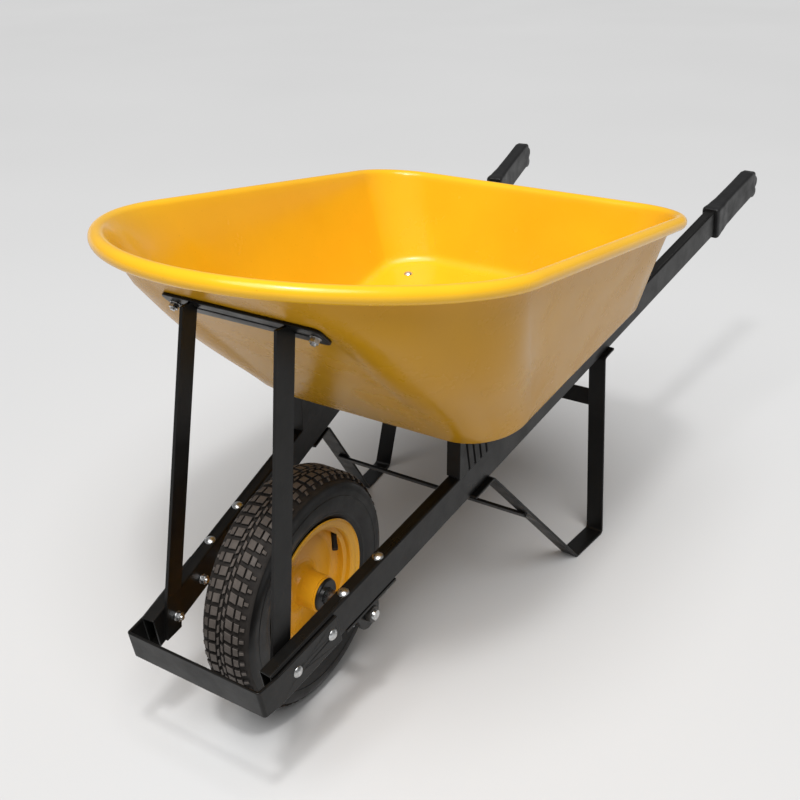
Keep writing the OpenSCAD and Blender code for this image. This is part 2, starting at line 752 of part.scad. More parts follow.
// Profile of the tray's section at station i, for the surface in millimetres inside
function section(i, inside) =
    let (
        f2 = floor_line[i],
        r2 = rim_line[i],
        up = [0, 0, 1],
        m = outward(floor_line, i),
        n = outward(rim_line, i),
        foot = [f2[0], f2[1], floor_height(f2[1])],
        bead = [r2[0], r2[1], rim_height(r2[1])],
        curl_r = bead_r - sheet_t + inside,
        plane = wall_plane + inside / cos(cross_lean),
        h = unit(m + n),
        rough = bead - foot,
        off = unit(h * rough[2] - up * (rough * h)),
        share = panel_share(i),
        gap0 = plane_gap(bead, plane, off, share),
        late = rough * (1 - flare) + off * gap0 * flare,
        end_lean = atan2(late[2], late * n),
        curl_start = bead + curl_r * (-sin(end_lean) * n + cos(end_lean) * up),
        gap = plane_gap(curl_start, plane, off, share),
        span = curl_start - foot,
        early = span - off * gap,
        lean = atan2(early[2], early * m),
        tangent = floor_bend * tan(lean / 2),
        edge = foot - m * tangent,
        centre = [edge[0], edge[1], floor_height(edge[1]) + floor_bend],
        bend_r = floor_bend - inside,
        bend = [for (k = [0 : 3]) let (a = lean * k / 3)
            centre + bend_r * (sin(a) * m - cos(a) * up)],
        from = bend[3],
        wall_gap = plane_gap(from, plane, off, share),
        wall = [for (t = [0.2, 0.4, 0.55, 0.66, flare, 0.9])
            mix(from, curl_start, t)
            - off * ((gap - wall_gap) * panel_growth(t) + wall_gap * (1 - smooth((t - flare) / (1 - flare))))
            + off * wall_bulge * bulge_share(i) * pow(sin(180 * t), 2)],
        curl_from = 90 + end_lean,
        curl_to = -140,
        curl = [for (k = [0 : 9]) let (a = mix(curl_from, curl_to, k / 9))
            bead + curl_r * (cos(a) * n + sin(a) * up)]
    )
    concat(bend, wall, curl);

// Closed section: the outer surface up and over the bead, then the inner one back
function closed_section(i) = concat(section(i, 0), flip(section(i, sheet_t)));

tray_half = [for (i = [0 : stations - 1]) closed_section(i)];
tray_sections = concat(tray_half, [
    for (i = [stations - 2 : -1 : 1]) [for (p = tray_half[i]) [-p[0], p[1], p[2]]]
]);

module tray() {
    rows = len(tray_sections[0]);
    piece("#f2b233") difference() {
        loft([for (k = [0 : rows - 1]) [for (s = tray_sections) s[k]]]);
        at_cross_bolts() hole(40);
        for (side = SIDES) at_tray_bolts(side, 60) hole(2 * rail_h);
    }
}

// ---- fastener sets ----------------------------------------------------------------

zinc = "#c9ccd0";

module guard_bolts() {
    piece(zinc) for (side = SIDES, i = [0, 1])
        in_rail(side) translate([arm_out + bar_t + touch, guard_bolt_s[i], guard_bolt_h])
            rotate([0, 90, 0]) dome_bolt(rail_w + bar_t + (i == 0 ? bar_t : 0));
}
module guard_nuts() {
    piece(zinc) at_guard_nuts() nut();
}
module bracket_bolts() {
    piece(zinc) at_bracket_bolts() dome_bolt(rail_h + plate_t);
}
module bracket_nuts() {
    piece(zinc) at_bracket_bolts(-rail_h - plate_t) nut();
}
module cross_bar_bolts() {
    piece(zinc) at_cross_bolts(bar_t + sheet_t + 2 * touch) dome_bolt(bar_t + sheet_t);
}
module cross_bar_nuts() {
    piece(zinc) at_cross_bolts() nut();
}
// Height above the rail's top at which a tray bolt's axis meets the floor's upper face
function floor_over_rail(s) = let (
    y0 = toed(0, s * cos(rise))[1],
    z0 = nose_z + s * sin(rise),
    rate = cos(rise) + floor_slope * sin(rise) * cos(toe)
) (floor_height(y0) - z0) / rate + sheet_t;

module tray_bolts() {
    piece(zinc) for (side = SIDES, s = tray_bolt_s) {
        top = floor_over_rail(s);
        reach = top - tab_under + washer_t + bolt_end;
        xy = toed(0, s * cos(rise) - top * sin(rise));
        in_rail(side) translate([0, s, top - reach]) cylinder(r = bolt_r, h = reach);
        on_side(side)
            translate([xy[0], xy[1], floor_height(xy[1])]) rotate([atan(floor_slope), 0, 0])
            translate([0, 0, sheet_t + touch]) dome_head();
    }
}
module tray_nuts() {
    piece(zinc) for (side = SIDES) at_tray_bolts(side, tab_under) nut();
}
module washers() {
    piece(zinc) {
        at_guard_nuts() washer();
        at_bracket_bolts(-rail_h - plate_t) washer();
        at_cross_bolts() washer();
        for (side = SIDES) at_tray_bolts(side, tab_under) washer();
    }
}

// ---- axle and wheel ------------------------------------------------------------------

axle_half = ear_x + ear_t / 2 + axle_nut_h + 4;
hub_half = hub_l / 2;
bearing_out = hub_half - 2;
spacer_in = bearing_out + running_gap;

module axle() {
    piece(zinc) on_axle() cylinder(d = axle_d, h = 2 * axle_half, center = true);
}
module axle_nuts() {
    piece(zinc) for (side = SIDES) on_side(side)
        translate([ear_x + ear_t / 2, 0, axle_z]) rotate([0, 90, 0]) difference() {
            cylinder(d = 24 / cos(30), h = axle_nut_h, $fn = 6);
            translate([0, 0, -1]) cylinder(r = axle_d / 2 + touch, h = axle_nut_h + 2);
        }
}
module axle_spacers() {
    piece(zinc) for (side = SIDES) on_side(side)
        translate([spacer_in, 0, axle_z]) rotate([0, 90, 0]) difference() {
            cylinder(d = spacer_d, h = ear_x - ear_t / 2 - spacer_in);
            translate([0, 0, -1]) cylinder(r = axle_d / 2 + touch, h = ear_x);
        }
}

tyre_r = tyre_d / 2;
bead_seat_r = seat_d / 2;
rim_half_w = rim_w / 2;
barrel_r = bead_seat_r - rim_drop;

// Half of the tyre's outer outline, from its crown to its bead
function tyre_outline(r, w, shoulder, foot_r, foot_w) = concat(
    [for (k = [0 : 8]) let (a = 90 - 90 * k / 8)
        [w / 2 - shoulder + shoulder * cos(a), r - shoulder + shoulder * sin(a)]],
    [[w / 2 - 1, r - 1.9 * shoulder], [foot_w + 3, rim_d / 2 + 6], [foot_w, rim_d / 2 - 2],
     [foot_w, foot_r + 7], [foot_w - 1.5, foot_r + 3.5], [foot_w - 5, foot_r]]
);
function both_sides(half) = concat(half, [for (p = flip(half)) [-p[0], p[1]]]);

module tyre() {
    seat = bead_seat_r + touch;
    foot_w = rim_half_w - rim_t - touch;
    outer = tyre_outline(tyre_r, tyre_w, tyre_shoulder, seat, foot_w);
    inner = concat(
        [for (k = [0 : 6]) let (a = 90 - 90 * k / 6, r = tyre_shoulder - 8)
            [tyre_w / 2 - 7 - r + r * cos(a), tyre_r - tread_t - r + r * sin(a)]],
        [[tyre_w / 2 - 8, tyre_r - 52], [foot_w - 7, rim_d / 2 + 2], [foot_w - 9, seat]]
    );
    piece("#232120") turned(concat(
        [for (p = flip(inner)) [-p[0], p[1]]], inner, flip(outer),
        [for (p = outer) [-p[0], p[1]]]
    ));
}

// Flat ring of rubber that fills the tyre's cavity
module inner_tube() {
    w = tyre_w / 2 - 7.5;
    top = tyre_r - tread_t - 0.5;
    low = bead_seat_r + 6;
    wall = 1.5;
    r = tyre_shoulder - 9;
    outer = concat(
        [for (k = [0 : 6]) let (a = 90 - 90 * k / 6) [w - r + r * cos(a), top - r + r * sin(a)]],
        [[w - 1, tyre_r - 52], [rim_half_w - 12, rim_d / 2 + 1], [rim_half_w - 14, low]]
    );
    inner = [for (p = outer) [max(1, p[0] - wall), p[1] > top - r ? p[1] - wall : p[1] + wall / 2]];
    piece("#1b1b1b") difference() {
        turned(both_sides(outer));
        turned(both_sides([for (p = inner) [p[0], max(p[1], low + wall)]]));
    }
}

// Sheet of one rim half, from the hub tube out to the curled flange
rim_path = let (tube_r = hub_d / 2 + rim_t / 2 + touch, web_x = 3) concat(
    [[hub_half - 3, tube_r]],
    [for (k = [0 : 6]) let (a = 90 * k / 6) [24 - 21 * sin(a), tube_r + 21 - 21 * cos(a)]],
    [for (k = [0 : 5]) let (a = 90 * k / 5) [web_x + 14 - 14 * cos(a), barrel_r - 15 + 14 * sin(a)]],
    [[rim_half_w - 15, barrel_r - 1], [rim_half_w - 12, bead_seat_r - rim_t / 2],
     [rim_half_w - 5, bead_seat_r - rim_t / 2], [rim_half_w - 2.5, bead_seat_r + 0.6],
     [rim_half_w - rim_t / 2, bead_seat_r + 4], [rim_half_w - rim_t / 2, rim_d / 2 - 5],
     [rim_half_w + 0.5, rim_d / 2 - 1.6], [rim_half_w + 3, rim_d / 2]]
);

valve_angle = 36.5;
valve_foot = [rim_half_w - 20, barrel_r + 0.5];
valve_lean = 33;
valve_l = 32;
// Frame at the valve's foot, with Z out of the rim towards the wheel's middle
module at_valve() {
    translate([0, 0, axle_z]) rotate([valve_angle - 90, 0, 0])
        translate([valve_foot[0], 0, valve_foot[1]]) rotate([0, 180 - valve_lean, 0]) children();
}

module rim(side) {
    piece("#e9a224") difference() {
        on_side(side) turned(band(rim_path, rim_t));
        if (side > 0) at_valve() translate([0, 0, -8]) cylinder(d = valve_d + 0.6, h = 30);
    }
}

module hub() {
    piece("#e9a224") on_axle() difference() {
        cylinder(d = hub_d, h = hub_l, center = true);
        cylinder(d = bearing_d - 4, h = hub_l + 2, center = true);
        for (side = SIDES) translate([0, 0, side * (hub_half - (bearing_w + 2) / 2 + 0.5)])
            cylinder(d = bearing_d + 2 * touch, h = bearing_w + 3, center = true);
    }
}
module bearings() {
    piece("#b9bcc2") for (side = SIDES)
        on_axle() translate([0, 0, side * (bearing_out - bearing_w / 2)]) difference() {
            cylinder(d = bearing_d, h = bearing_w, center = true);
            cylinder(r = axle_d / 2 + axle_clear, h = bearing_w + 2, center = true);
        }
}
module hub_caps() {
    piece("#111111") for (side = SIDES)
        on_side(side) turned([
            [hub_half + touch, spacer_d / 2 + 1], [hub_half + cap_t, spacer_d / 2 + 1],
            [hub_half + cap_t, hub_d / 2 - 3], [hub_half + cap_t - 1, hub_d / 2 - 1],
            [hub_half + touch + 1, hub_d / 2], [hub_half + touch, hub_d / 2],
        ]);
}
module valve() {
    piece("#101010") at_valve() {
        translate([0, 0, -4]) cylinder(d = valve_d, h = valve_l - 6);
        translate([0, 0, valve_l - 10]) cylinder(d = valve_d + 1, h = 8);
        translate([0, 0, -7]) cylinder(d = valve_d + 5, h = 3);
    }
}

rail(1);  // rail_left
rail(-1);  // rail_right
grip(1);  // grip_left
grip(-1);  // grip_right
nose_guard();
strut(1);  // strut_left
strut(-1);  // strut_right
cross_bar();
leg(1);  // leg_left
leg(-1);  // leg_right
lower_brace();
upper_brace();
riser(1);  // riser_left
riser(-1);  // riser_right
axle_bracket(1);  // axle_bracket_left
axle_bracket(-1);  // axle_bracket_right
tray();
axle();
axle_nuts();
axle_spacers();
guard_bolts();
guard_nuts();
bracket_bolts();
bracket_nuts();
cross_bar_bolts();
cross_bar_nuts();
tray_bolts();
tray_nuts();
washers();
tyre();
inner_tube();
rim(1);  // rim_left
rim(-1);  // rim_right
hub();
bearings();
hub_caps();
valve();
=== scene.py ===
"""Builder's wheelbarrow: a glossy yellow pressed tray on a black tube frame with a
pneumatic wheel. Lengths are in metres; the shapes shared with the frame are worked out
in millimetres about the axle, and place() brings them into the scene."""

import math

import bmesh
import bpy
import numpy as np
from mathutils import Matrix, Vector


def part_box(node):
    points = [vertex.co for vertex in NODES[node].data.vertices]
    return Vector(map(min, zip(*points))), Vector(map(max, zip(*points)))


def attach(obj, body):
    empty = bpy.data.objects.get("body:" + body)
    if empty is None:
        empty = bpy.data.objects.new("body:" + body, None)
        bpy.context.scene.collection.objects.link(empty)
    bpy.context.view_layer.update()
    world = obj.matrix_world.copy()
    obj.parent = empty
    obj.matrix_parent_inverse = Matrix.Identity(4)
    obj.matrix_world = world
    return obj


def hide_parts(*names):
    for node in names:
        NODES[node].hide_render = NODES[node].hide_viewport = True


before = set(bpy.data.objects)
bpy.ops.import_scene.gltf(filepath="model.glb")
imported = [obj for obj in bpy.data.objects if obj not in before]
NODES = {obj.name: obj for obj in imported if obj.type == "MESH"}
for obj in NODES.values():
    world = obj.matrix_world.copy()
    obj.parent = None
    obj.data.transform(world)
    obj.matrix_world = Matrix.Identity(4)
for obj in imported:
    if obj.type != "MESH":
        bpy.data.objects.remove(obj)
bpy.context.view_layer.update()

MM = 0.001
AXLE_LOW, AXLE_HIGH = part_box("axle")
AXLE = (AXLE_LOW + AXLE_HIGH) / 2
AXLE_Z = AXLE.z / MM


# ---- meshes -----------------------------------------------------------------


def place(p):
    """Scene point of a point in millimetres, Y measured from the axle and Z from the ground."""
    return Vector((p[0] * MM, AXLE.y + p[1] * MM, p[2] * MM))


def make(name, verts, faces, body, materials, sharp=40, kinds=None):
    """Closed mesh object that rides on a body, its faces turned outward and shaded smooth, but
    sharp where they meet at more than the given angle."""
    mesh = bpy.data.meshes.new(name)
    mesh.from_pydata([tuple(v) for v in verts], [], faces)
    bm = bmesh.new()
    bm.from_mesh(mesh)
    bmesh.ops.recalc_face_normals(bm, faces=bm.faces)
    bm.to_mesh(mesh)
    bm.free()
    for m in materials:
        mesh.materials.append(m)
    mesh.shade_smooth()
    if kinds is not None:
        mesh.polygons.foreach_set("material_index", kinds)
    mesh.set_sharp_from_angle(angle=math.radians(sharp))
    mesh.update()
    obj = bpy.data.objects.new(name, mesh)
    bpy.context.scene.collection.objects.link(obj)
    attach(obj, body)
    return obj


def mix(a, b, t):
    return a * (1 - t) + b * t


def smooth(v):
    t = min(1.0, max(0.0, v))
    return t * t * (3 - 2 * t)


def unit(v):
    return v / np.linalg.norm(v)


def sin(deg):
    return math.sin(math.radians(deg))


def cos(deg):
    return math.cos(math.radians(deg))


# ---- materials ----------------------------------------------------------------


class Mat:
    """A node material with a Principled shader and a few helpers for its texture nodes."""

    def __init__(self, name, metallic=0.0, specular=0.5):
        self.m = bpy.data.materials.new(name)
        self.m.use_nodes = True
        self.t = self.m.node_tree
        self.b = self.t.nodes["Principled BSDF"]
        self.b.inputs["Metallic"].default_value = metallic
        self.b.inputs["Specular IOR Level"].default_value = specular
        self.where = self.t.nodes.new("ShaderNodeTexCoord").outputs["Object"]

    def noise(self, scale, detail=3.0, rough=0.5):
        n = self.t.nodes.new("ShaderNodeTexNoise")
        n.inputs["Scale"].default_value = scale
        n.inputs["Detail"].default_value = detail
        n.inputs["Roughness"].default_value = rough
        self.t.links.new(self.where, n.inputs["Vector"])
        return n.outputs["Fac"]

    def ramp(self, fac, stops):
        r = self.t.nodes.new("ShaderNodeValToRGB")
        while len(r.color_ramp.elements) < len(stops):
            r.color_ramp.elements.new(0.5)
        for e, (at, colour) in zip(r.color_ramp.elements, stops):
            e.position = at
            e.color = (*colour, 1)
        self.t.links.new(fac, r.inputs["Fac"])
        return r.outputs["Color"]

    def span(self, fac, low, high, start=0.3, end=0.7):
        """fac from start..end brought to low..high."""
        r = self.t.nodes.new("ShaderNodeMapRange")
        for key, v in (("From Min", start), ("From Max", end), ("To Min", low), ("To Max", high)):
            r.inputs[key].default_value = v
        self.t.links.new(fac, r.inputs["Value"])
        return r.outputs["Result"]

    def mix(self, fac, base, colour):
        """The base's colour turned to a plain one by fac."""
        m = self.t.nodes.new("ShaderNodeMix")
        m.data_type = "RGBA"
        self.t.links.new(fac, m.inputs[0])
        self.t.links.new(base, m.inputs[6])
        m.inputs[7].default_value = (*colour, 1)
        return m.outputs[2]

    def bump(self, fac, height, below=None):
        n = self.t.nodes.new("ShaderNodeBump")
        n.inputs["Strength"].default_value = 1.0
        n.inputs["Distance"].default_value = height
        self.t.links.new(fac, n.inputs["Height"])
        if below is not None:
            self.t.links.new(below, n.inputs["Normal"])
        return n.outputs["Normal"]

    def set(self, **sockets):
        names = {"colour": "Base Color", "roughness": "Roughness", "normal": "Normal"}
        for key, out in sockets.items():
            self.t.links.new(out, self.b.inputs[names[key]])


def enamel(name, low, high, dark, roughness, peel, dust, specular=0.4):
    """Glossy enamel: a slow drift of its colour, an orange-peel skin and faint smudges."""
    m = Mat(name, specular=specular)
    drift = m.ramp(m.noise(3.5, 4), [(0.3, low), (0.7, high)])
    specks = m.ramp(m.noise(260, 2, 0.6), [(0.69, (0, 0, 0)), (0.75, (1, 1, 1))])
    smear = m.noise(9, 5, 0.65)
    m.set(
        colour=m.mix(m.span(specks, 0, dust, 0, 1), drift, dark),
        roughness=m.span(smear, roughness - 0.06, roughness + 0.1),
        normal=m.bump(m.noise(420, 2), peel, m.bump(m.noise(38, 3), peel * 4)),
    )
    return m.m


def black_paint():
    """Satin black powder coat with a fine skin, a little dust and rubbed patches."""
    m = Mat("frame_paint", specular=0.24)
    base = m.ramp(m.noise(14, 5, 0.6), [
        (0.3, (0.0030, 0.0029, 0.0028)), (0.75, (0.0062, 0.0058, 0.0052)),
    ])
    dusty = m.ramp(m.noise(55, 6, 0.7), [(0.58, (0, 0, 0)), (0.8, (1, 1, 1))])
    m.set(
        colour=m.mix(m.span(dusty, 0, 0.10, 0, 1), base, (0.05, 0.042, 0.034)),
        roughness=m.span(m.noise(22, 5, 0.6), 0.26, 0.44),
        normal=m.bump(m.noise(700, 2), 0.00006, m.bump(m.noise(60, 3), 0.00025)),
    )
    return m.m


def rubber(name, low, high, roughness, grain):
    m = Mat(name, specular=0.3)
    m.set(
        colour=m.ramp(m.noise(70, 6, 0.65), [(0.3, low), (0.72, high)]),
        roughness=m.span(m.noise(40, 5), roughness - 0.08, roughness + 0.08),
        normal=m.bump(m.noise(900, 3, 0.6), grain, m.bump(m.noise(120, 4), grain * 2)),
    )
    return m.m


def zinc():
    m = Mat("zinc_steel", metallic=1.0)
    m.set(
        colour=m.ramp(m.noise(150, 5, 0.6), [(0.3, (0.36, 0.36, 0.35)), (0.7, (0.68, 0.69, 0.70))]),
        roughness=m.span(m.noise(240, 4), 0.2, 0.42),
        normal=m.bump(m.noise(900, 2), 0.00005),
    )
    return m.m


TRAY_PAINT = enamel(
    "tray_paint", (0.78, 0.405, 0.010), (0.87, 0.485, 0.014), (0.42, 0.17, 0.01),
    roughness=0.2, peel=0.00001, dust=0.35)
# Darker and duller than the inner face by choice. This is painted shade: a darker copy of the same paint
# that stands for the shade on the outer face. The real sheet is probably one paint on both faces.
TRAY_OUTSIDE_PAINTED_SHADE = enamel(
    "tray_outside_painted_shade", (0.52, 0.255, 0.008), (0.59, 0.300, 0.011), (0.3, 0.12, 0.01),
    roughness=0.24, peel=0.00001, dust=0.35, specular=0.22)
RIM_PAINT = enamel(
    "rim_paint", (0.72, 0.34, 0.012), (0.84, 0.43, 0.02), (0.2, 0.08, 0.01),
    roughness=0.30, peel=0.000014, dust=0.6)
FRAME_PAINT = black_paint()
ZINC = zinc()
TYRE_SIDE = rubber("tyre_rubber", (0.0034, 0.0033, 0.0032), (0.0066, 0.0062, 0.006), 0.42, 0.00005)
TYRE_TREAD = rubber("tyre_tread", (0.060, 0.050, 0.044), (0.105, 0.089, 0.078), 0.62, 0.00009)
TYRE_GROOVE = rubber("tyre_groove", (0.010, 0.008, 0.007), (0.022, 0.018, 0.015), 0.75, 0.00009)
GRIP = rubber("grip_plastic", (0.0075, 0.0075, 0.0078), (0.013, 0.013, 0.0135), 0.42, 0.00008)
RISER = rubber("riser_plastic", (0.008, 0.008, 0.0075), (0.015, 0.0145, 0.0135), 0.5, 0.00006)
CAP = rubber("cap_plastic", (0.007, 0.007, 0.007), (0.012, 0.012, 0.012), 0.38, 0.00005)
VALVE = rubber("valve_rubber", (0.006, 0.006, 0.006), (0.011, 0.011, 0.011), 0.5, 0.00006)
BEARING = zinc()
NUT_BLACK = rubber("nut_black", (0.010, 0.009, 0.008), (0.035, 0.031, 0.027), 0.3, 0.00003)

PAINTED = {
    "frame_paint": FRAME_PAINT, "tray_paint": TRAY_PAINT, "rim_paint": RIM_PAINT, "zinc_steel": ZINC,
    "tyre_rubber": TYRE_SIDE, "grip_plastic": GRIP, "riser_plastic": RISER, "cap_plastic": CAP,
    "valve_rubber": VALVE, "bearing_steel": BEARING, "nut_black": NUT_BLACK,
}
NODE_FINISH = {
    "frame_paint": ["rail_left", "rail_right", "nose_guard", "strut_left", "strut_right", "cross_bar",
                    "leg_left", "leg_right", "lower_brace", "upper_brace",
                    "axle_bracket_left", "axle_bracket_right"],
    "tray_paint": ["tray"],
    "rim_paint": ["rim_left", "rim_right", "hub"],
    "nut_black": ["axle_nuts"],
    "zinc_steel": ["axle", "axle_spacers", "guard_bolts", "guard_nuts", "bracket_bolts",
                   "bracket_nuts", "cross_bar_bolts", "cross_bar_nuts", "tray_bolts", "tray_nuts",
                   "washers"],
    "bearing_steel": ["bearings"],
    "grip_plastic": ["grip_left", "grip_right"],
    "riser_plastic": ["riser_left", "riser_right"],
    "cap_plastic": ["hub_caps"],
    "valve_rubber": ["valve"],
    "tyre_rubber": ["tyre", "inner_tube"],
}
# Width of the rounded edges that catch the light, for the nodes that have them
EDGE = {
    "frame_paint": 0.0017, "nut_black": 0.0006, "riser_plastic": 0.0015, "zinc_steel": 0.0004,
    "cap_plastic": 0.0006,
}


def finish_nodes():
    """Gives each frame node its material, and a rounded edge where its sheet or bar has one."""
    for finish, names in NODE_FINISH.items():
        for name in names:
            obj = NODES[name]
            obj.data.materials.clear()
            obj.data.materials.append(PAINTED[finish])
            if finish not in EDGE:
                continue
            weld = obj.modifiers.new("weld", "WELD")
            weld.merge_threshold = 0.00001
            bevel = obj.modifiers.new("edge", "BEVEL")
            bevel.width = EDGE[finish]
            bevel.segments = 2
            bevel.limit_method = "ANGLE"
            bevel.angle_limit = math.radians(32)
            bevel.harden_normals = True
            bevel.use_clamp_overlap = True


# ---- tray -----------------------------------------------------------------------

SHEET = 1.5
BEAD_R = 12.0
NOSE_R, NOSE_CY, NOSE_PINCH = 330.0, 114.0, 7.0
NOSE_TURN, SIDE_TURN = 24.0, 90.8
RIM_HALF, REAR_Y, REAR_R = 330.0, 809.0, 105.0
FLOOR_FLAT, FLOOR_R = 149.0, 95.5
FLOOR_REAR_HALF, FLOOR_REAR_Y = 267.4, 763.0
FLOOR_CORNER = (90.0, 60.0)
FLOOR_BEND = 25.0
WALL_BULGE = 17.0
FLARE = 0.8
FLOOR_Z, FLOOR_SLOPE, FLOOR_REF = 219.2, 0.116, 400.0
RIM_Z, RIM_SLOPE, RIM_REF = 507.7, 0.16, 285.0
WALL_PLANE = 593.542
# Stretch of s over which the wall leaves the flat front plane
PLANE_FADE = 8
# Angle at which the rolled bead ends, under its outside
BEAD_END = -140.0
# Ends of the outline's stretches, counted as the frame's own tray counts them
NOSE_S, CURVE_S, SIDE_S, CORNER_S, END_S = 6.0, 21.0, 25.0, 33.0, 36.0
UP = np.array([0.0, 0.0, 1.0])


def floor_height(y):
    return AXLE_Z + FLOOR_Z + FLOOR_SLOPE * (y - FLOOR_REF)


def rim_height(y):
    return AXLE_Z + RIM_Z - RIM_SLOPE * (y - RIM_REF)


FLOOR_FRONT = (WALL_PLANE - AXLE_Z - FLOOR_Z + FLOOR_SLOPE * FLOOR_REF) / (1 + FLOOR_SLOPE)


def rim_line(s):
    """Middle of the rim's bead at s, from the nose round to the rear."""
    corner_y = REAR_Y - REAR_R
    if s <= CURVE_S:
        if s <= NOSE_S:
            a = NOSE_TURN * s / NOSE_S
        else:
            a = mix(NOSE_TURN, SIDE_TURN, (s - NOSE_S) / (CURVE_S - NOSE_S))
        r = NOSE_R - NOSE_PINCH * sin(2 * a) ** 2
        return np.array([r * sin(a), NOSE_CY - r * cos(a)])
    if s <= SIDE_S:
        return mix(rim_line(CURVE_S), np.array([RIM_HALF, corner_y]), (s - CURVE_S) / (SIDE_S - CURVE_S))
    if s <= CORNER_S:
        a = 90 * (s - SIDE_S) / (CORNER_S - SIDE_S)
        return np.array([RIM_HALF - REAR_R + REAR_R * cos(a), corner_y + REAR_R * sin(a)])
    return np.array([(RIM_HALF - REAR_R) * (END_S - s) / (END_S - CORNER_S), REAR_Y])


def floor_line(s):
    """Edge of the floor at s, where the walls would meet it without their bend."""
    side_y = FLOOR_FRONT + FLOOR_R
    cx, cy = FLOOR_REAR_HALF - FLOOR_CORNER[0], FLOOR_REAR_Y - FLOOR_CORNER[1]
    if s <= NOSE_S:
        return np.array([FLOOR_FLAT * s / NOSE_S, FLOOR_FRONT])
    if s <= CURVE_S:
        a = 90 * (s - NOSE_S) / (CURVE_S - NOSE_S)
        return np.array([FLOOR_FLAT + FLOOR_R * sin(a), side_y - FLOOR_R * cos(a)])
    if s <= SIDE_S:
        return mix(np.array([FLOOR_FLAT + FLOOR_R, side_y]), np.array([FLOOR_REAR_HALF, cy]),
                   (s - CURVE_S) / (SIDE_S - CURVE_S))
    if s <= CORNER_S:
        t = (s - SIDE_S) / (CORNER_S - SIDE_S)
        a = 90 * t
        return np.array([
            cx + FLOOR_CORNER[0] * mix(cos(a), 1 - t, 0.5),
            cy + FLOOR_CORNER[1] * mix(sin(a), t, 0.5),
        ])
    return np.array([cx * (END_S - s) / (END_S - CORNER_S), FLOOR_REAR_Y])


def outward(line, s):
    """Level direction out of the tray at s, square to the outline around it. It turns evenly
    between whole numbers."""
    def at(v):
        p = line(abs(v)) if v <= END_S else line(2 * END_S - v)
        return p * (-1, 1) if v < 0 or v > END_S else p

    def square(v):
        t = unit(at(v + 1) - at(v - 1))
        return np.array([t[1], -t[0], 0.0])

    low = min(math.floor(s), END_S - 1)
    return unit(mix(square(low), square(low + 1), s - low))


def plane_gap(p, plane, off, share):
    return share * (p[1] + p[2] - plane) / (off[1] + off[2]) if share > 0 else 0.0


def tray_section(s, inside, bends, walls, curls):
    """Outline up one wall at s, from the floor's bend over the rolled bead."""
    m, n = outward(floor_line, s), outward(rim_line, s)
    f2, r2 = floor_line(s), rim_line(s)
    foot = np.array([*f2, floor_height(f2[1])])
    bead = np.array([*r2, rim_height(r2[1])])
    curl_r = BEAD_R - SHEET + inside
    plane = WALL_PLANE + inside * math.sqrt(2)
    h = unit(m + n)
    rough = bead - foot
    off = unit(h * rough[2] - UP * rough.dot(h))
    share = 1 - smooth((s - NOSE_S) / PLANE_FADE)
    bulge_t = (s - NOSE_S) / (CURVE_S - NOSE_S)
    bulge = sin(180 * bulge_t) if 0 < bulge_t < 1 else 0.0
    late = rough * (1 - FLARE) + off * plane_gap(bead, plane, off, share) * FLARE
    end_lean = math.degrees(math.atan2(late[2], late.dot(n)))
    curl_start = bead + curl_r * (-sin(end_lean) * n + cos(end_lean) * UP)
    gap = plane_gap(curl_start, plane, off, share)
    early = curl_start - foot - off * gap
    lean = math.degrees(math.atan2(early[2], early.dot(m)))
    edge = foot - m * FLOOR_BEND * math.tan(math.radians(lean / 2))
    centre = np.array([edge[0], edge[1], floor_height(edge[1]) + FLOOR_BEND])
    bend_r = FLOOR_BEND - inside
    points = []
    for k in range(bends + 1):
        a = lean * k / bends
        points.append(centre + bend_r * (sin(a) * m - cos(a) * UP))
    start = points[-1]
    wall_gap = plane_gap(start, plane, off, share)
    for k in range(1, walls):
        t = k / walls
        rest = 1 - smooth((t - FLARE) / (1 - FLARE))
        grown = t if t <= FLARE else FLARE * rest
        points.append(
            mix(start, curl_start, t) - off * ((gap - wall_gap) * grown + wall_gap * rest)
            + off * WALL_BULGE * bulge * sin(180 * t) ** 2
        )
    for k in range(curls + 1):
        a = mix(90 + end_lean, BEAD_END, k / curls)
        points.append(bead + curl_r * (cos(a) * n + sin(a) * UP))
    return points


def stations():
    """Values of s round half the tray, closer together where it turns."""
    stretches = [(0, NOSE_S, 12), (NOSE_S, CURVE_S, 50), (CURVE_S, SIDE_S, 10),
                 (SIDE_S, CORNER_S, 32), (CORNER_S, END_S, 10)]
    return [a + (b - a) * k / n for a, b, n in stretches for k in range(n)] + [END_S]


def make_tray():
    """The pressed tray: a sheet with two faces, a rolled bead and a flat floor."""
    bends, walls, curls = 7, 20, 22
    half = []
    for s in stations():
        outer = tray_section(s, 0.0, bends, walls, curls)
        inner = tray_section(s, SHEET, bends, walls, curls)
        half.append(outer + inner[::-1])
    ring = half + [[p * (-1, 1, 1) for p in sec] for sec in half[-2:0:-1]]
    n, rows = len(ring), len(ring[0])
    points = [ring[i][k] for k in range(rows) for i in range(n)]
    faces = [
        (k * n + i, k * n + (i + 1) % n, (k + 1) * n + (i + 1) % n, (k + 1) * n + i)
        for k in range(rows - 1) for i in range(n)
    ]
    # The sheet's outer face is the first half of each section. It takes the darker copy of the paint,
    # which is painted shade
    kinds = [1 if k < rows // 2 else 0 for k in range(rows - 1) for i in range(n)]
    for row, turned in ((0, True), (rows - 1, False)):
        first = [ring[i][row] for i in range(n)]
        middle = sum(first) / n
        last = row * n
        for share in (0.75, 0.5, 0.25):
            start = len(points)
            points += [mix(middle, p, share) for p in first]
            for i in range(n):
                j = (i + 1) % n
                quad = (last + i, last + j, start + j, start + i)
                faces.append(quad[::-1] if turned else quad)
            last = start
        points.append(middle)
        for i in range(n):
            tri = (last + i, last + (i + 1) % n, len(points) - 1)
            faces.append(tri[::-1] if turned else tri)
        kinds += [1 if turned else 0] * (4 * n)
    tray = make("tray_shell", [place(p) for p in points], faces, "frame",
                [TRAY_PAINT, TRAY_OUTSIDE_PAINTED_SHADE], sharp=50, kinds=kinds)
    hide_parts("tray")


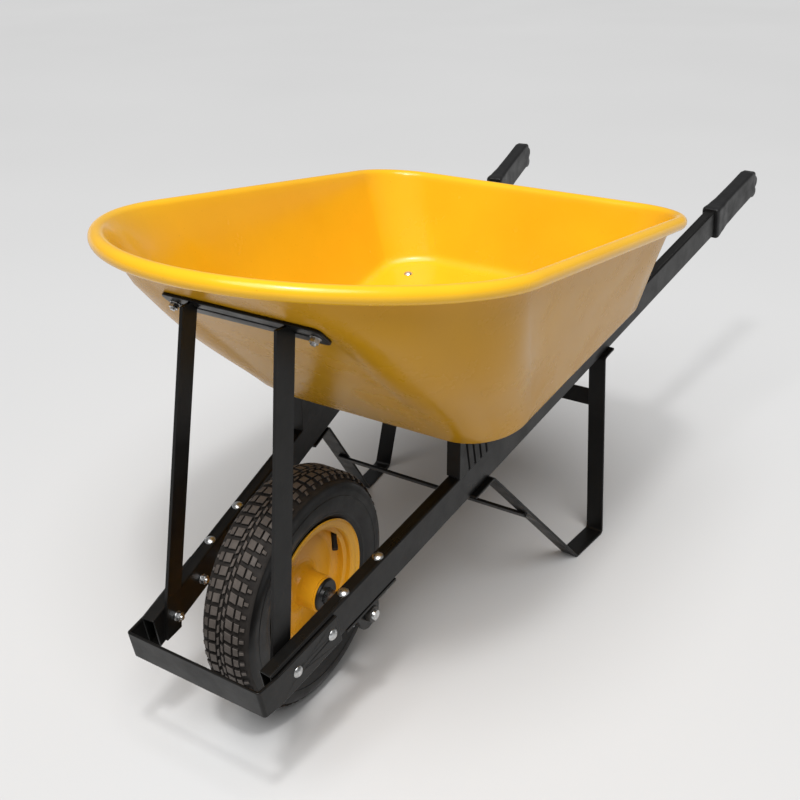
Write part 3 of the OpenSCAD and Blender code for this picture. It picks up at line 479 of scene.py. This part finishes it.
# ---- tyre -------------------------------------------------------------------------

TYRE_R, TYRE_HALF, SHOULDER = 190.0, 46.0, 28.0
CROWN_HALF = TYRE_HALF - SHOULDER
GROOVE = 4.6
# Place across the tread where its grooves start to run out, and how far they take
GROOVE_END, GROOVE_FADE = 36.0, 12.0
# How far a block's foot reaches under the tyre's skin
ROOT = 0.6
# Radius inside which the tyre's skin is sidewall, not groove
SIDEWALL_R = 175.0
# Pitches of the tread round the tyre, and steps of the skin under it
PITCHES, TURNS = 60, 184


def tread_point(across, height, turn):
    """Point of the tyre at a distance across its tread and a height over the tread's top, as
    (along the axle, radius, turn)."""
    side = 1 if across >= 0 else -1
    out = max(0.0, abs(across) - CROWN_HALF) / SHOULDER
    x = min(abs(across), CROWN_HALF) + (SHOULDER + height) * math.sin(out)
    r = TYRE_R - SHOULDER + (SHOULDER + height) * math.cos(out)
    return (side * x, r, turn)


def wheel_point(p):
    """Scene point from (along the axle, radius, turn in radians)."""
    x, r, a = p
    return Vector((x * MM, AXLE.y + r * math.cos(a) * MM, AXLE.z + r * math.sin(a) * MM))


def groove_depth(across):
    """Depth of the tread's grooves, which run out on the shoulder."""
    return GROOVE * (1 - smooth((abs(across) - GROOVE_END) / GROOVE_FADE))


def carcass_profile():
    """Half outline of the tyre under its blocks, from the crown to the bead, as (x, radius)."""
    end = CROWN_HALF + SHOULDER * math.pi / 2
    top = []
    for k in range(31):
        w = end * k / 30
        x, r, _ = tread_point(w, -groove_depth(w), 0)
        top.append((x, r))
    # Sidewall: the thin raised line, the bulge, and the rib over the rim's flange
    wall = [(46.0, 159.5), (45.98, 157.0), (46.6, 156.6), (46.6, 155.4), (45.9, 155.0),
            (45.8, 149.0), (45.2, 142.0), (44.2, 136.5), (42.9, 132.0), (41.6, 128.6),
            (41.9, 127.4), (41.7, 125.8), (40.3, 124.2), (38.4, 121.6), (36.9, 118.2),
            (36.0, 115.0), (35.9, 109.5), (31.0, 102.6)]
    return top + wall


def tread_block(verts, faces, kinds, corners):
    """One block on its four corners (across, along), with upright sides, a small chamfer and a
    top that follows the tyre."""
    nu, nv = 3, 3
    c = [np.array(p, float) for p in corners]
    middle = sum(c) / 4

    def at(u, v, inset):
        p = mix(mix(c[0], c[1], u), mix(c[3], c[2], u), v)
        d = p - middle
        return middle + d * (1 - inset / max(2.0, np.linalg.norm(d)))

    def add(u, v, inset, height):
        p = at(u, v, inset)
        w, s = p
        verts.append(wheel_point(tread_point(w, height, s / TYRE_R)))
        return len(verts) - 1

    edge = [(k / nu, 0) for k in range(nu)] + [(1, k / nv) for k in range(nv)]
    edge += [(1 - k / nu, 1) for k in range(nu)] + [(0, 1 - k / nv) for k in range(nv)]
    grid = {(i, j): add(i / nu, j / nv, 0.7, 0.0) for i in range(nu + 1) for j in range(nv + 1)}
    for i in range(nu):
        for j in range(nv):
            faces.append((grid[i, j], grid[i + 1, j], grid[i + 1, j + 1], grid[i, j + 1]))
            kinds.append(1)
    top = [grid[round(u * nu), round(v * nv)] for u, v in edge]
    rim = [add(u, v, 0.15, -0.5) for u, v in edge]
    foot = [add(u, v, -0.25, -GROOVE - ROOT) for u, v in edge]
    for a, b, kind in ((top, rim, 1), (rim, foot, 2)):
        for k in range(len(edge)):
            j = (k + 1) % len(edge)
            faces.append((a[k], b[k], b[j], a[j]))
            kinds.append(kind)


# Rows of blocks on each side: inner and outer edge across the tread, start and length along
# it, and how far the outer edge leans ahead of the inner one
ROWS = [
    (8.2, 20.5, 0, 13.6, 2.0),
    (1.3, 5.6, 4.5, 12.4, 3.0),
    (23.4, 31.5, 2.0, 12.6, 1.5),
    (33.0, 40.0, 8.0, 5.6, 1.0),
]
# How far the far side's pattern is shifted, as a share of the pitch
SHIFT = 0.45


def tread_rows():
    """Blocks of one pitch, each as its corners (across, along), and the pitch."""
    pitch = 2 * math.pi * TYRE_R / PITCHES
    rows = []
    for side in (1, -1):
        shift = 0.0 if side > 0 else SHIFT * pitch
        for inner, outer, start, length, lean in ROWS:
            near = shift + start
            far = shift + start + length
            rows.append([
                (side * inner, near), (side * outer, near + lean),
                (side * outer, far + lean), (side * inner, far),
            ])
    return rows, pitch


def make_tyre():
    profile = carcass_profile()
    half = profile[::-1] + [(-x, r) for x, r in profile[1:]]
    verts, faces, kinds = [], [], []
    for k in range(TURNS):
        a = 2 * math.pi * k / TURNS
        verts += [wheel_point((x, r, a)) for x, r in half]
    n = len(half)
    for k in range(TURNS):
        j = (k + 1) % TURNS
        for i in range(n):
            h = (i + 1) % n
            faces.append((k * n + i, j * n + i, j * n + h, k * n + h))
            r = (half[i][1] + half[h][1]) / 2
            kinds.append(2 if r > SIDEWALL_R else 0)
    rows, pitch = tread_rows()
    for k in range(PITCHES):
        for corners in rows:
            tread_block(verts, faces, kinds, [(w, s + k * pitch) for w, s in corners])
    tyre = make("tyre_tread", verts, faces, "wheel",
                [TYRE_SIDE, TYRE_TREAD, TYRE_GROOVE], sharp=35, kinds=kinds)
    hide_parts("tyre")


# ---- grips ---------------------------------------------------------------------------

NOSE_X, NOSE_Y, NOSE_Z = 107.5, -221.175, 224.955
TOE, RISE = 6.1, 11.5
RAIL_L, RAIL_W, RAIL_H = 1640.0, 22.0, 55.5
GRIP_IN, GRIP_L, GRIP_WALL = 197.0, 232.0, 4.0
# Voxel that melts a grip's parts into one skin, in metres
GRIP_GRAIN = 0.0014
# Round lobes across a grip's end: distance back from the end, height, radius
LOBES = ((9, -12, 11), (4, -RAIL_H / 2 - 1, 16), (7, 4 - RAIL_H, 13))


def rail_frame(side):
    """Matrix to the scene from a rail's own frame in millimetres: X outward, Y along it and Z
    up from its top."""
    m = Matrix.Translation((NOSE_X, NOSE_Y, 0)) @ Matrix.Rotation(math.radians(-TOE), 4, "Z")
    m = m @ Matrix.Translation((0, 0, NOSE_Z)) @ Matrix.Rotation(math.radians(RISE), 4, "X")
    to_scene = Matrix.Translation((0, AXLE.y, 0)) @ Matrix.Diagonal((side * MM, MM, MM, 1))
    return to_scene @ m


def grip_outline(half, top, bottom, r, steps=8):
    """Closed outline of a grip's section, (x, z), with round corners."""
    w, h = half - r, (top - bottom) / 2 - r
    mid = (top + bottom) / 2
    points = []
    for q in range(4):
        sx, sz = (1 if q in (0, 3) else -1), (1 if q < 2 else -1)
        for k in range(steps + 1):
            a = 90 * (q + k / steps)
            points.append((sx * w + r * cos(a), mid + sz * h + r * sin(a)))
    return points


def make_grip(side):
    """Moulded rubber grip: a flared collar, a body with soft corners and three round lobes
    at its end."""
    start = RAIL_L - GRIP_IN
    end = start + GRIP_L - 14
    half = RAIL_W / 2 + GRIP_WALL
    low = -RAIL_H - GRIP_WALL
    keys = [
        (start, half + 2.5, 3.5, low - 5, 5), (start + 6, half + 4, 5, low - 7, 7),
        (start + 30, half + 2.5, 3, low - 5, 7), (start + 62, half, 2.5, low - 3, 6),
        (start + 130, half - 0.5, 2.5, low - 1.5, 6), (end - 20, half, 2.5, low, 6),
        (end - 8, half, -1, low, 7), (end, half - 3, -5, low + 3, 6),
    ]
    rings = []
    for k in range(len(keys) - 1):
        a, b = np.array(keys[k], float), np.array(keys[k + 1], float)
        count = max(2, int((b[0] - a[0]) / 5))
        for i in range(count):
            t = i / count
            rings.append(np.append(mix(a[0], b[0], t), mix(a[1:], b[1:], smooth(t))))
    rings.append(np.array(keys[-1], float))
    verts, faces = [], []
    for s, w, top, bottom, r in rings:
        verts += [(x, s, z) for x, z in grip_outline(w, top, bottom, r)]
    n = len(verts) // len(rings)
    for k in range(len(rings) - 1):
        for i in range(n):
            j = (i + 1) % n
            faces.append((k * n + i, k * n + j, (k + 1) * n + j, (k + 1) * n + i))
    faces.append(tuple(range(n))[::-1])
    faces.append(tuple(range(len(verts) - n, len(verts))))
    lobe_half = half - 4
    turns = 40
    for back, height, r in LOBES:
        cuts = [(-lobe_half - 3, r - 3), (-lobe_half - 1, r - 0.8), (-lobe_half, r), (lobe_half, r),
                (lobe_half + 1, r - 0.8), (lobe_half + 3, r - 3)]
        first = len(verts)
        for x, rr in cuts:
            verts += [(x, end - back + rr * cos(360 * k / turns), height + rr * sin(360 * k / turns))
                      for k in range(turns)]
        for c in range(len(cuts) - 1):
            for k in range(turns):
                a, b = first + c * turns, first + (c + 1) * turns
                faces.append((a + k, a + (k + 1) % turns, b + (k + 1) % turns, b + k))
        faces.append(tuple(range(first, first + turns))[::-1])
        faces.append(tuple(range(len(verts) - turns, len(verts))))
    to_scene = rail_frame(side)
    name = "grip_rubber_left" if side > 0 else "grip_rubber_right"
    grip = make(name, [to_scene @ Vector(v) for v in verts], faces, "frame",
                [GRIP])
    remesh = grip.modifiers.new("one skin", "REMESH")
    remesh.mode = "VOXEL"
    remesh.voxel_size = GRIP_GRAIN
    remesh.use_smooth_shade = True
    soft = grip.modifiers.new("soft", "SMOOTH")
    soft.factor, soft.iterations = 0.6, 6
    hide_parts("grip_left" if side > 0 else "grip_right")


# ---- camera, light and floor --------------------------------------------------------------


# Camera as fitted: turn to the left, tip down and roll in degrees, and place about the axle
CAM_TURN, CAM_TIP, CAM_ROLL = 34.4175, 24.2038, -1.7664
CAM_X, CAM_AHEAD, CAM_Z = 0.8528, 1.0987, 1.2270
CAM_LENS, CAM_SHIFT = 48.469, 0.0720


def make_camera():
    """Camera at the photograph's angle: turned to the left, tipped down and rolled a little."""
    yaw, tip, roll = (math.radians(a) for a in (CAM_TURN, CAM_TIP, CAM_ROLL))
    ahead = Vector((-math.sin(yaw) * math.cos(tip), math.cos(yaw) * math.cos(tip), -math.sin(tip)))
    right = Vector((math.cos(yaw), math.sin(yaw), 0))
    up = right.cross(ahead)
    x = right * math.cos(roll) + up * math.sin(roll)
    y = up * math.cos(roll) - right * math.sin(roll)
    data = bpy.data.cameras.new("camera")
    data.sensor_width, data.lens = 36, CAM_LENS
    data.shift_x, data.shift_y = CAM_SHIFT, -CAM_SHIFT
    data.clip_end = 200
    cam = bpy.data.objects.new("camera", data)
    turned = Matrix((x, y, -ahead)).transposed().to_4x4()
    cam.matrix_world = Matrix.Translation((CAM_X, AXLE.y - CAM_AHEAD, CAM_Z)) @ turned
    bpy.context.scene.collection.objects.link(cam)
    bpy.context.scene.camera = cam


ROOM_LIGHT = 0.24
SKY_LIGHT, SKY_WIDTH = 3.0, 50
SKY_FROM = (0.18, -0.42, 1)
FLOOR_REACH = 60


def softbox(name, at, towards, size, power):
    data = bpy.data.lights.new(name, "AREA")
    data.shape, data.size, data.energy = "SQUARE", size, power
    lamp = bpy.data.objects.new(name, data)
    lamp.location = at
    lamp.rotation_euler = (Vector(towards) - Vector(at)).to_track_quat("-Z", "Y").to_euler()
    bpy.context.scene.collection.objects.link(lamp)


def make_stage():
    """Plain pale floor, a dim even room, a wide soft light overhead and a lamp for highlights."""
    m = Mat("floor", specular=0.1)
    m.set(
        colour=m.ramp(m.noise(0.6, 2), [(0.3, (0.59, 0.59, 0.59)), (0.7, (0.61, 0.61, 0.61))]),
        roughness=m.span(m.noise(3, 2), 0.85, 0.95),
        normal=m.bump(m.noise(30, 3), 0.0001),
    )
    corners = [(x * FLOOR_REACH, y * FLOOR_REACH, 0) for x, y in ((-1, -1), (1, -1), (1, 1), (-1, 1))]
    mesh = bpy.data.meshes.new("floor")
    mesh.from_pydata(corners, [], [(0, 1, 2, 3)])
    mesh.materials.append(m.m)
    floor = bpy.data.objects.new("floor", mesh)
    bpy.context.scene.collection.objects.link(floor)
    world = bpy.data.worlds.new("room")
    world.use_nodes = True
    world.node_tree.nodes["Background"].inputs["Color"].default_value = (1, 1, 1, 1)
    world.node_tree.nodes["Background"].inputs["Strength"].default_value = ROOM_LIGHT
    bpy.context.scene.world = world
    sky = bpy.data.lights.new("overhead", "SUN")
    sky.energy, sky.angle = SKY_LIGHT, math.radians(SKY_WIDTH)
    lamp = bpy.data.objects.new("overhead", sky)
    lamp.rotation_euler = Vector(SKY_FROM).to_track_quat("Z", "Y").to_euler()
    bpy.context.scene.collection.objects.link(lamp)
    softbox("strip", at=(0.6, -1.6, 3.4), towards=(0, -0.1, 0.6), size=0.35, power=40)
    bpy.context.scene.view_settings.view_transform = "Standard"


make_camera()
make_stage()
finish_nodes()
make_tray()
make_tyre()
for grip_side in (1, -1):
    make_grip(grip_side)
